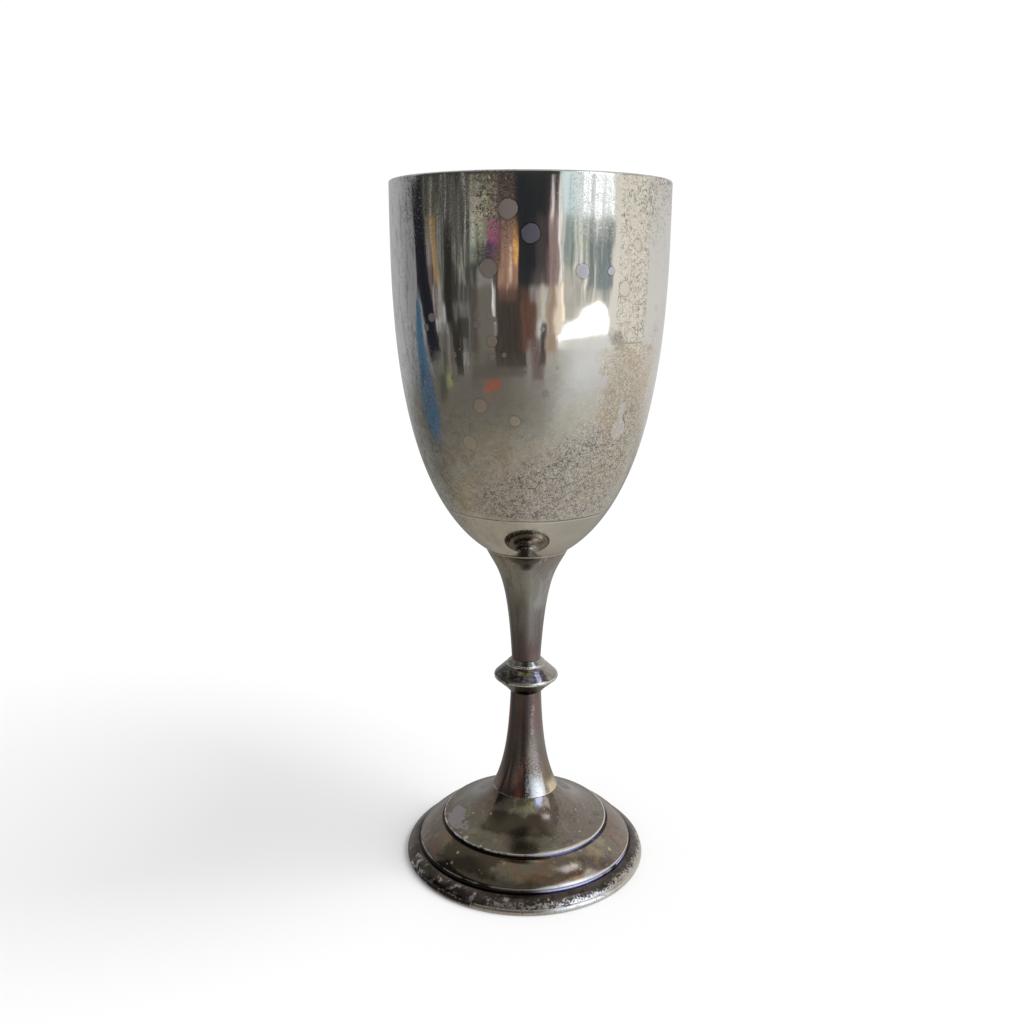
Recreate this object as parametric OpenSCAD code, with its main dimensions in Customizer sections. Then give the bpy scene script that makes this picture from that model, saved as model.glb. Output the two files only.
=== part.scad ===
// Communion chalice in silver plate: a deep bowl, a slender stem in two lengths with a knop
// between them, and a stepped round foot. The pieces are stacked on one threaded rod. The rod
// screws into a boss under the bowl, and a nut inside the foot pulls the stack together.
// Millimetres, +Z up. The origin is the centre of the base, on the table.

/* [Overall] */
// Height from the table to the rim
cup_h = 160; // [156:0.5:166]
// Straight steps in each curved stretch of an outline
steps = 24; // [12:4:40]

/* [Bowl] */
// Outer radius at the rim
rim_r = 30.6; // [28:0.2:34]
// Outer depth, from the rim to the lowest point underneath
bowl_h = 84.6; // [82:0.2:87]
// How full the side is: 2 is an ellipse, and more is squarer
fullness = 2.95; // [2.6:0.05:3.2]
// Wall thickness
bowl_wall = 0.9; // [0.6:0.1:1.2]

/* [Stem] */
// Wall thickness of both lengths of stem
stem_wall = 0.9; // [0.7:0.05:1]
// How far the bowl sinks into the mouth of the upper stem
mouth_h = 2.9; // [2.4:0.1:3.4]
// Outer radius of the upper stem where it stands on the knop
waist_r = 3.45; // [3.35:0.05:3.8]
// Height of the flare at the mouth of the upper stem
flare_h = 5.1; // [4:0.1:6.5]
// Outer radius that the lower stem narrows towards
neck_r = 3.35; // [3.3:0.05:3.6]
// Height over which the lower stem's flare shrinks to about a third
flare_len = 9.6; // [7:0.2:11]

/* [Knop] */
// Height of the underside of the knop above the table
knop_z = 42.4; // [38:0.2:46]
// Height of the knop
knop_h = 8.3; // [8:0.1:9.5]
// Largest radius of the knop
knop_r = 7.7; // [7.2:0.1:9]

/* [Foot] */
// Outer radius of the base
foot_r = 29.3; // [28.7:0.1:32]
// Height of the seat for the stem on top of the foot
foot_h = 17.4; // [16:0.2:19]
// Radius of the seat for the stem
seat_r = 7.8; // [7.6:0.1:9]
// Radius of the upper step
step1_r = 20.1; // [18:0.1:21.5]
// Height of the upper step
step1_z = 9.7; // [9:0.1:10.5]
// Radius of the lower step
step2_r = 26; // [25:0.1:26.6]
// Height of the lower step
step2_z = 4.4; // [4.2:0.1:5]
// Wall thickness of the foot
foot_wall = 0.8; // [0.6:0.1:1]
// Height of the wire that stiffens the edge of the base
wire_h = 1.5; // [1.2:0.1:1.8]

/* [Fastening] */
// Nominal thread diameter of the rod, the boss and the nut
thread_d = 4; // [3:1:4]
// Width of the nut across its flats
nut_af = 7; // [5.5:0.5:8]

/* [Hidden] */
$fn = 128;

// Width of the fine edge by which each length of stem stands proud at its seam
edge = 0.12;
// Spigots on the stem's ends, and the recesses that take them in the knop
spigot_r = 3.1;
spigot_h = 1;
spigot_wall = 0.4;
fit_gap = 0.05;
recess_h = spigot_h + 0.2;
// Raised step on the crown of the foot, which centres the lower stem
crown_h = 1.2;
crown_r = seat_r + edge - stem_wall - fit_gap;
// Risers under the two steps of the foot
riser_h = 0.95;
// Fastening pieces
thread_r = thread_d / 2;
hole_r = thread_r + 0.15;
washer_t = 0.8;
washer_r = 4.5;
plate_t = 2;
plate_r = crown_r - foot_wall - 0.2;
nut_h = 3.2;
rod_tail = 1;
boss_r = 3.9;
boss_h = 6.4;
boss_thread_h = 4.6;
rod_gap = 0.6;

// Heights that follow from the sizes above
lip_z = cup_h - bowl_wall / 2;
bowl_bottom_z = cup_h - bowl_h;
mouth_z = bowl_bottom_z + mouth_h;
knop_top_z = knop_z + knop_h;
boss_z = bowl_bottom_z - boss_h;
plate_top_z = foot_h + crown_h - foot_wall;
washer_top_z = plate_top_z - plate_t;
nut_top_z = washer_top_z - washer_t;

silver = [0.66, 0.63, 0.56];
tarnish = [0.43, 0.40, 0.35];
dark_tarnish = [0.30, 0.27, 0.24];
brass = [0.72, 0.58, 0.32];
steel = [0.55, 0.55, 0.56];

// Points along a cubic curve from a to d, pulled towards b and c
function curve(a, b, c, d) = [
    for (i = [0:steps])
        let (t = i / steps)
        pow(1 - t, 3) * a + 3 * pow(1 - t, 2) * t * b + 3 * (1 - t) * t * t * c + pow(t, 3) * d
];

// Points along a round arc, from angle a0 to a1
function arc(centre, r, a0, a1, n = 8) = [
    for (i = [0:n])
        let (a = a0 + (a1 - a0) * i / n)
        centre + r * [cos(a), sin(a)]
];

function reversed(points) = [for (i = [len(points) - 1:-1:0]) points[i]];

function shifted(points, by) = [for (p = points) p + by];

// Side of the bowl from the rim to the axis: a superellipse in radius and depth
function bowl_side(r, depth) = [
    for (i = [0:steps * 2])
        let (a = 90 * i / (steps * 2))
        [r * cos(a), lip_z - depth * pow(sin(a), 2 / fullness)]
];

// Outer radius of the bowl at height z
function bowl_r(z) = rim_r * sqrt(1 - pow((lip_z - z) / (lip_z - bowl_bottom_z), fullness));

// Outer radius of the lower stem at height z
function lower_r(z) = neck_r + (seat_r + edge - neck_r) * exp(-(z - foot_h) / flare_len);

// Everything inside the bowl's outer surface, for cutting the pieces that seat against it
module bowl_envelope() {
    polygon(concat([[0, cup_h]], [[rim_r, cup_h]], bowl_side(rim_r, lip_z - bowl_bottom_z)));
}

// Spun bowl with a rounded lip
module bowl() {
    depth = lip_z - bowl_bottom_z;
    outer = bowl_side(rim_r, depth);
    inner = bowl_side(rim_r - bowl_wall, depth - bowl_wall);
    lip = arc([rim_r - bowl_wall / 2, lip_z], bowl_wall / 2, 157.5, 22.5, 6);
    color(silver)
        rotate_extrude()
            polygon(concat(reversed(outer), reversed(lip), inner));
}

// Threaded boss soldered to the underside of the bowl
module bowl_boss() {
    color(brass)
        rotate_extrude()
            difference() {
                translate([0, boss_z])
                    square([boss_r, mouth_z - boss_z]);
                bowl_envelope();
                square([thread_r, boss_z + boss_thread_h]);
            }
}

// Hollow trumpet from the knop up to the bowl
module upper_stem() {
    mouth_r = bowl_r(mouth_z) + edge;
    outer = curve([waist_r, knop_top_z], [waist_r + 1.2, mouth_z - flare_h],
                  [mouth_r - 2.3, mouth_z - flare_h], [mouth_r, mouth_z]);
    bore_r = min(waist_r - stem_wall, spigot_r - spigot_wall);
    color(tarnish)
        rotate_extrude()
            difference() {
                polygon(concat(
                    [[bore_r, knop_top_z - spigot_h], [spigot_r, knop_top_z - spigot_h],
                     [spigot_r, knop_top_z]],
                    outer,
                    reversed(shifted(outer, [-stem_wall, 0]))));
                bowl_envelope();
            }
}

// Turned knop: a thin bead between two cones, with a fine edge where the upper cone ends
module knop() {
    bead_r = 0.7;
    bead = arc([knop_r - bead_r, knop_z + 3.95], bead_r, -50, 50);
    outer = concat(
        [[spigot_r + 0.75, knop_z], [knop_r * 0.665, knop_z + 1.4]],
        bead,
        [[knop_r * 0.68, knop_z + 6.6], [knop_r * 0.6, knop_z + 7.05],
         [knop_r * 0.595, knop_z + 7.3], [waist_r + 0.05, knop_top_z]]);
    color(dark_tarnish)
        rotate_extrude()
            difference() {
                polygon(concat([[0, knop_z]], outer, [[0, knop_top_z]]));
                square([hole_r + 0.25, knop_top_z + 1]);
                square([spigot_r + fit_gap, knop_z + recess_h]);
                translate([0, knop_top_z - recess_h])
                    square([spigot_r + fit_gap, recess_h + 1]);
            }
}

// Hollow trumpet from the foot up to the knop
module lower_stem() {
    outer = [
        for (i = [0:steps])
            let (z = foot_h + (knop_z - foot_h) * pow(i / steps, 1.5))
            [lower_r(z), z]
    ];
    bore_r = min(lower_r(knop_z) - stem_wall, spigot_r - spigot_wall);
    color(dark_tarnish)
        rotate_extrude()
            polygon(concat(
                outer,
                [[spigot_r, knop_z], [spigot_r, knop_z + spigot_h], [bore_r, knop_z + spigot_h]],
                reversed(shifted(outer, [-stem_wall, 0]))));
}

// Spun foot: crown, dome, upper step, round moulding, lower step and flange
module foot() {
    rim = [foot_r - 0.3, wire_h + 0.3];
    dome = curve([seat_r, foot_h], [seat_r + 2.9, foot_h - 4.1],
                 [step1_r - 5, step1_z + 0.95], [step1_r, step1_z]);
    moulding = curve([step1_r + 0.5, step1_z - riser_h], [step1_r + 2, step1_z - riser_h - 0.5],
                     [step2_r - 0.35, step2_z + 1], [step2_r, step2_z]);
    groove_z = step2_z - riser_h;
    flange = curve([step2_r + 0.3, groove_z], [step2_r + 1.2, groove_z + 0.1],
                   [foot_r - 0.9, wire_h + 1.1], rim);
    skin = concat(
        [[0, foot_h + crown_h], [crown_r, foot_h + crown_h], [crown_r, foot_h]],
        dome,
        [[step1_r, step1_z - riser_h]],
        moulding,
        [[step2_r - 0.1, step2_z - 0.15], [step2_r - 0.1, groove_z + 0.5],
         [step2_r + 0.1, groove_z + 0.35], [step2_r, groove_z]],
        flange,
        [[foot_r - 0.25, wire_h]]);
    color(tarnish)
        rotate_extrude()
            intersection() {
                difference() {
                    polygon(concat(skin, [[0, wire_h]]));
                    polygon(concat(shifted(skin, [-foot_wall, -foot_wall]), [[0, 0]]));
                    square([hole_r, foot_h + crown_h]);
                }
                translate([0, wire_h])
                    square([foot_r, foot_h + crown_h]);
            }
}

// Half-round wire soldered under the edge of the foot: the chalice stands on it
module foot_wire() {
    color(silver)
        rotate_extrude() {
            translate([foot_r - 2, 0])
                square([2 - wire_h / 2, wire_h]);
            translate([foot_r - wire_h / 2, wire_h / 2])
                circle(d = wire_h);
        }
}

// Flat ring of height t, with its lower face at height z
module ring(outer_r, inner_r, z, t) {
    translate([0, 0, z])
        difference() {
            cylinder(r = outer_r, h = t);
            translate([0, 0, -1])
                cylinder(r = inner_r, h = t + 2);
        }
}

// Disc inside the foot, which spreads the pull of the nut over the crown
module clamp_plate() {
    color(brass)
        ring(plate_r, hole_r, washer_top_z, plate_t);
}

module washer() {
    color(steel)
        ring(washer_r, hole_r, nut_top_z, washer_t);
}

module nut() {
    color(steel)
        translate([0, 0, nut_top_z - nut_h])
            difference() {
                cylinder(r = nut_af / sqrt(3), h = nut_h, $fn = 6);
                translate([0, 0, -1])
                    cylinder(r = thread_r, h = nut_h + 2);
            }
}

// Threaded rod through the hollow stem, from the nut to the boss
module tie_rod() {
    bottom_z = nut_top_z - nut_h - rod_tail;
    color(steel)
        translate([0, 0, bottom_z])
            cylinder(r = thread_r, h = boss_z + boss_thread_h - rod_gap - bottom_z);
}

bowl();
bowl_boss();
upper_stem();
knop();
lower_stem();
foot();
foot_wire();
clamp_plate();
washer();
nut();
tie_rod();
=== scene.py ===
"""Looks, light and camera for the communion chalice. Everything is in metres, in the CAD frame.

The six pieces that show are turned again as fine lathe meshes on the sections of their CAD nodes.
The fastening pieces inside stay as CAD nodes and get finishes of their own.
"""

import math

import bpy
import numpy as np
from mathutils import Matrix, Vector


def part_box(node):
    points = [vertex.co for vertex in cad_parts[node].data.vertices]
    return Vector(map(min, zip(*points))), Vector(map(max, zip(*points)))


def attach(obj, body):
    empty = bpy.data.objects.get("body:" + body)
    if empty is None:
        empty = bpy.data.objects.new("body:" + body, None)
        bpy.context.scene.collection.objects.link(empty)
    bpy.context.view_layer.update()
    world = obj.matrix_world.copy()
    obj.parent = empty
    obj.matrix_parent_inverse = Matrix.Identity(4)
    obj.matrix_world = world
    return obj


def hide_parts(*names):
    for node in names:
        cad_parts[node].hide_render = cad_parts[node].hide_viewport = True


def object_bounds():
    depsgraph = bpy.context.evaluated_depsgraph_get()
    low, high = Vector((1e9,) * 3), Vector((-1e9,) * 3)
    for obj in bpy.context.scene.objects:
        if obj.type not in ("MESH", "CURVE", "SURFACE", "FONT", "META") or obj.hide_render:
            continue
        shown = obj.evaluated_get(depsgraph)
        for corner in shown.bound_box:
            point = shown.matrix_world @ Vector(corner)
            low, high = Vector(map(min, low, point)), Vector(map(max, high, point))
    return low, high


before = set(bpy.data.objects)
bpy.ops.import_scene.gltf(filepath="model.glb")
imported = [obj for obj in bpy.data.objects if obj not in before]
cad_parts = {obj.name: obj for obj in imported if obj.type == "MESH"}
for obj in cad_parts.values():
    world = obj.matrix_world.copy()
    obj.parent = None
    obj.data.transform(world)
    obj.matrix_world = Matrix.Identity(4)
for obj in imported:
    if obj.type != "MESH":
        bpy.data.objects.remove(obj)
cad_low, cad_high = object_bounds()

MM = 0.001
scene = bpy.context.scene


# -------- helpers

def add_object(name, data):
    made = bpy.data.objects.new(name, data)
    scene.collection.objects.link(made)
    return made


def add_mesh(name, points, faces):
    mesh = bpy.data.meshes.new(name)
    mesh.from_pydata(points, [], faces)
    return add_object(name, mesh)


def new_material(name):
    """A material whose node tree is still empty."""
    material = bpy.data.materials.new(name)
    material.use_nodes = True
    material.node_tree.nodes.clear()
    return material


def round_grid(rows, columns, closed=False):
    """Faces between rings of points, and from the last ring back to the first if closed."""
    i, j = np.meshgrid(np.arange(rows if closed else rows - 1), np.arange(columns), indexing="ij")
    i2, j2 = (i + 1) % rows, (j + 1) % columns
    corners = (i, j), (i, j2), (i2, j2), (i2, j)
    return np.stack([a * columns + b for a, b in corners], -1).reshape(-1, 4).tolist()


def blend(first, second, share):
    """The first colours where share is 0, the second where it is 1."""
    share = share[..., None]
    return first * (1 - share) + second * share


# -------- sections of the CAD nodes

def section(node):
    """A turned node's section as (radius, height) points in order round its outline, in millimetres."""
    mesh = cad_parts[node].data
    flat = np.empty(len(mesh.vertices) * 3, np.float32)
    mesh.vertices.foreach_get("co", flat)
    whole = np.round(flat.reshape(-1, 3).astype(float) * 1e7).astype(np.int64)
    points, index = np.unique(whole, axis=0, return_inverse=True)
    index = index.ravel()
    in_plane = (np.abs(points[:, 1]) < 3) & (points[:, 0] > -3)
    near = {}
    for edge in mesh.edges:
        a, b = (int(index[v]) for v in edge.vertices)
        if a != b and in_plane[a] and in_plane[b]:
            near.setdefault(a, []).append(b)
            near.setdefault(b, []).append(a)
    ends = [k for k, others in near.items() if len(set(others)) == 1]
    chain = [min(ends or near)]
    while True:
        onward = [k for k in near[chain[-1]] if k not in chain]
        if not onward:
            break
        chain.append(onward[0])
    outline = points[chain][:, [0, 2]] * 1e-4
    area = np.sum(outline[:, 0] * np.roll(outline[:, 1], -1) - np.roll(outline[:, 0], -1) * outline[:, 1])
    return outline if area > 0 else outline[::-1]


def turn_angles(points):
    """How far the outline turns at each point, in degrees: more than 0 at a corner that stands out."""
    before = points - np.roll(points, 1, 0)
    after = np.roll(points, -1, 0) - points
    cross = before[:, 0] * after[:, 1] - before[:, 1] * after[:, 0]
    return np.degrees(np.arctan2(cross, np.sum(before * after, 1)))


def round_corners(points, open_ends, size=0.12, sharp=26):
    """Replaces each sharp corner by a small round one, with a point just beyond each side of it."""
    turns = np.abs(turn_angles(points))
    made = []
    for i, p in enumerate(points):
        at_end = open_ends and i in (0, len(points) - 1)
        if turns[i] < sharp or at_end:
            made.append(p)
            continue
        a, b = points[i - 1] - p, points[(i + 1) % len(points)] - p
        la, lb = np.linalg.norm(a), np.linalg.norm(b)
        cut = min(size, 0.3 * la, 0.3 * lb)
        a, b = a / la, b / lb
        made.append(p + a * cut * 1.5)
        for t in (0, 0.25, 0.5, 0.75, 1):
            made.append(p + a * cut * (1 - t) ** 2 + b * cut * t ** 2)
        made.append(p + b * cut * 1.5)
    return np.array(made)


def refine(points, open_ends, longest=1.0):
    """Runs a smooth curve through the points, with more of them where the outline bends."""
    count = len(points)
    chord = np.roll(points, -1, 0) - points
    length = np.maximum(np.linalg.norm(chord, axis=1), 1e-9)
    way = chord / length[:, None]
    back_way, back_length = np.roll(way, 1, 0), np.roll(length, 1)
    tangent = back_way * length[:, None] + way * back_length[:, None]
    # Where a long straight length meets a short one, the curve keeps to the long one.
    uneven = np.maximum(length, back_length) > 4 * np.minimum(length, back_length)
    longer = np.where((length > back_length)[:, None], way, back_way)
    tangent = np.where(uneven[:, None], longer, tangent)
    tangent /= np.linalg.norm(tangent, axis=1)[:, None]
    if open_ends:
        tangent[0], tangent[-1] = way[0], back_way[-1]
    turns = np.abs(turn_angles(points))
    made = []
    for i in range(count - 1 if open_ends else count):
        j = (i + 1) % count
        steps = int(np.clip(max(turns[i], turns[j]) / 1.5, 1, 5)) if length[i] > 0.15 else 1
        steps = max(steps, math.ceil(length[i] / longest))
        for t in np.arange(steps) / steps:
            h = 2 * t ** 3 - 3 * t ** 2 + 1, t ** 3 - 2 * t ** 2 + t, 3 * t ** 2 - 2 * t ** 3, t ** 3 - t ** 2
            made.append(h[0] * points[i] + h[1] * tangent[i] * length[i]
                        + h[2] * points[j] + h[3] * tangent[j] * length[i])
    if open_ends:
        made.append(points[-1])
    return np.array(made)


def lathe(node, slot, around, wave, seed, corner=0.12):
    """A turned piece on a CAD node's section. wave is how far spinning left it out of true, and corner the
    size of its rounded corners, in millimetres."""
    outline = section(node)
    open_ends = outline[0, 0] < 1e-3 and outline[-1, 0] < 1e-3
    outline = refine(round_corners(outline, open_ends, corner), open_ends)
    if open_ends:
        outline[0, 0] = outline[-1, 0] = 0
    rings, poles = (outline[1:-1], outline[[0, -1]]) if open_ends else (outline, [])
    angle = np.arange(around) * 2 * np.pi / around
    radius = np.repeat(rings[:, :1], around, 1)
    height = np.repeat(rings[:, 1:], around, 1)
    random = np.random.default_rng(seed)
    shift = np.zeros_like(radius)
    for k in range(7):
        lobes, pitch = random.integers(2, 7), random.uniform(18, 55)
        phase = random.uniform(0, 2 * np.pi, 2)
        shift += np.sin(lobes * angle + phase[0]) * np.sin(height / pitch * 2 * np.pi + phase[1])
    radius = radius + shift * wave / 2.6 * np.clip(radius / 8, 0, 1)
    co = np.stack([radius * np.cos(angle), radius * np.sin(angle), height], -1).reshape(-1, 3)
    faces = round_grid(len(rings), around, closed=not open_ends)
    if open_ends:
        first, last = len(co), len(co) + 1
        co = np.vstack([co, [[0, 0, poles[0][1]], [0, 0, poles[1][1]]]])
        top = (len(rings) - 1) * around
        faces += [[first, (k + 1) % around, k] for k in range(around)]
        faces += [[last, top + k, top + (k + 1) % around] for k in range(around)]
    piece = add_mesh(node + "_turned", (co * MM).tolist(), faces)
    piece.data.shade_smooth()
    piece.data.update()
    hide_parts(node)
    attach(piece, "root")
    return piece


# -------- node trees

def screen(red, green, blue):
    """Linear colour of screen values from 0 to 255."""
    shares = (v / 255 for v in (red, green, blue))
    return tuple(s / 12.92 if s < 0.0404 else ((s + 0.055) / 1.055) ** 2.4 for s in shares)


def operation(kind, swapped=False):
    def act(self, other):
        return self.finish.math(kind, *((other, self) if swapped else (self, other)))
    return act


class Value:
    """The output of a node. Finishes add and multiply such values like plain numbers."""

    def __init__(self, finish, socket):
        self.finish, self.socket = finish, socket

    __add__, __radd__ = operation("ADD"), operation("ADD", True)
    __sub__, __rsub__ = operation("SUBTRACT"), operation("SUBTRACT", True)
    __mul__, __rmul__ = operation("MULTIPLY"), operation("MULTIPLY", True)
    __truediv__ = operation("DIVIDE")


class Finish:
    """A procedural material. Its lengths are in millimetres, its angles in degrees and its colours in
    screen values from 0 to 255.

    turn is the angle round the axis, 0 at the front and growing to the right; out is the distance from
    the axis; up is the height above the table. Sizes, depths and seeds are plain numbers.
    """

    def __init__(self, name):
        self.material = new_material(name)
        self.tree = self.material.node_tree
        self.surface = self.add("ShaderNodeBsdfPrincipled")
        output = self.add("ShaderNodeOutputMaterial")
        self.tree.links.new(self.surface.outputs[0], output.inputs[0])
        place = self.node("ShaderNodeTexCoord", "Object", {})
        self.place = self.vector("MULTIPLY", place, (1 / MM,) * 3)
        x, y, self.up = (self.node("ShaderNodeSeparateXYZ", axis, {0: self.place}) for axis in "XYZ")
        self.out = self.hypot(x, y)
        self.turn = self.math("ARCTAN2", x, y * -1.0) * (180 / math.pi)

    def add(self, kind):
        return self.tree.nodes.new(kind)

    def put(self, node, values):
        """Sets or links a node's inputs, given by name or number."""
        for key, value in values.items():
            socket = node.inputs[key]
            if isinstance(value, Value):
                self.tree.links.new(value.socket, socket)
            elif socket.type == "RGBA":
                socket.default_value = (*screen(*value), 1)
            else:
                socket.default_value = value

    def node(self, kind, output, values, **settings):
        node = self.add(kind)
        for name, setting in settings.items():
            setattr(node, name, setting)
        self.put(node, values)
        return Value(self, node.outputs[output])

    def math(self, kind, *values):
        return self.node("ShaderNodeMath", 0, dict(enumerate(values)), operation=kind)

    def hypot(self, a, b):
        return self.math("SQRT", a * a + b * b)

    def most(self, first, *others):
        for value in others:
            first = self.math("MAXIMUM", first, value)
        return first

    def least(self, a, b):
        return self.math("MINIMUM", a, b)

    def fade(self, value, start, end):
        """0 before start and 1 after end, with a smooth change between; start may be the larger one."""
        values = {"Value": value, "From Min": start, "From Max": end}
        return self.node("ShaderNodeMapRange", "Result", values, interpolation_type="SMOOTHSTEP")

    def within(self, value, low, high, soft):
        """1 between low and high, fading to 0 over soft at each end."""
        return self.fade(value, low - soft, low) * self.fade(value, high + soft, high)

    def between(self, share, a, b, kind="FLOAT", inputs=(0, 2, 3), output=0):
        """a where share is 0, b where it is 1."""
        return self.node("ShaderNodeMix", output, dict(zip(inputs, (share, a, b))), data_type=kind)

    def mix(self, share, a, b):
        """The same for colours."""
        return self.between(share, a, b, "RGBA", (0, 6, 7), 2)

    def tint(self, share, colour):
        """Lays a colour over the one so far."""
        self.colour = self.mix(share, self.colour, colour)

    def vector(self, kind, vector, by):
        return self.node("ShaderNodeVectorMath", 0, {0: vector, 1: by}, operation=kind)

    def noise(self, size, detail=2.0, rough=0.5, warp=0.0, stretch=1.0, seed=0):
        """Cloudy noise with features of about size, drawn out up and down by stretch."""
        place = self.vector("MULTIPLY", self.place, (1 / size, 1 / size, 1 / (size * stretch)))
        place = self.vector("ADD", place, (seed * 7.3, seed * 3.1, seed * 11.7))
        values = {"Vector": place, "Scale": 1.0, "Detail": detail, "Roughness": rough, "Distortion": warp}
        return self.node("ShaderNodeTexNoise", "Fac", values)

    def cells(self, size, seed, output="Distance"):
        """Distance to the nearest of some scattered points, about size apart, as a share of size."""
        place = self.vector("MULTIPLY", self.place, (1 / size,) * 3)
        place = self.vector("ADD", place, (seed * 5.7,) * 3)
        return self.node("ShaderNodeTexVoronoi", output, {"Vector": place, "Scale": 1.0})

    def chances(self, size, seed):
        """Two random values for each cell of the same size and seed."""
        colour = {0: self.cells(size, seed, "Color")}
        return [self.node("ShaderNodeSeparateColor", output, colour) for output in (0, 1)]

    def net(self, size, width, seed):
        """Fine wandering lines, about size apart. width is their share of the noise's range."""
        ridge = self.math("ABSOLUTE", self.noise(size, 2, 0.55, 0.7, seed=seed) - 0.5)
        return self.fade(ridge, width, width * 0.35)

    def offset(self, value, amount):
        """Noise moved to run from -amount to amount, roughly."""
        return (value - 0.5) * (2 * amount)

    def distance(self, turn, up, radius):
        """Distance along the surface to the point at this angle and height, where it has this radius."""
        return self.hypot((self.turn - turn) * (radius * math.pi / 180), self.up - up)

    def bump(self, height, depth):
        """Relief of this depth in millimetres, from a height that runs from 0 to 1."""
        values = {"Strength": 1.0, "Distance": depth * MM, "Height": height}
        self.put(self.surface, {"Normal": self.node("ShaderNodeBump", 0, values)})

    def finish(self, roughness, metallic=1.0):
        self.put(self.surface, {"Base Color": self.colour, "Roughness": roughness, "Metallic": metallic})
        return self.material


# -------- heights that the finishes refer to

def box_mm(node):
    """A node's lower and upper corner in millimetres."""
    return [[float(v) / MM for v in corner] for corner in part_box(node)]


bowl_low, bowl_high = box_mm("bowl")
rim_out, bowl_deep = bowl_high[0], bowl_high[2] - bowl_low[2]
seam_up = box_mm("upper_stem")[1][2]
knop_low, knop_high = box_mm("knop")
foot_out = box_mm("foot")[1][0]
stem_foot_up = box_mm("lower_stem")[0][2]
wire_up = box_mm("foot_wire")[1][2]


def foot_edges():
    """(radius, height) of the two step edges of the foot, the upper one first."""
    points = section("foot")
    turns = turn_angles(points)
    found = []
    for p, turned in zip(points, turns):
        beside = points[np.abs(points[:, 0] - p[0]) < 0.15]
        on_top = beside[:, 1].max() - p[1] < 0.3
        if turned > 40 and on_top and wire_up + 1 < p[1] < stem_foot_up - 1:
            found.append(tuple(p.tolist()))
    return sorted(found)


upper_edge, lower_edge = foot_edges()


# -------- finishes

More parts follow.
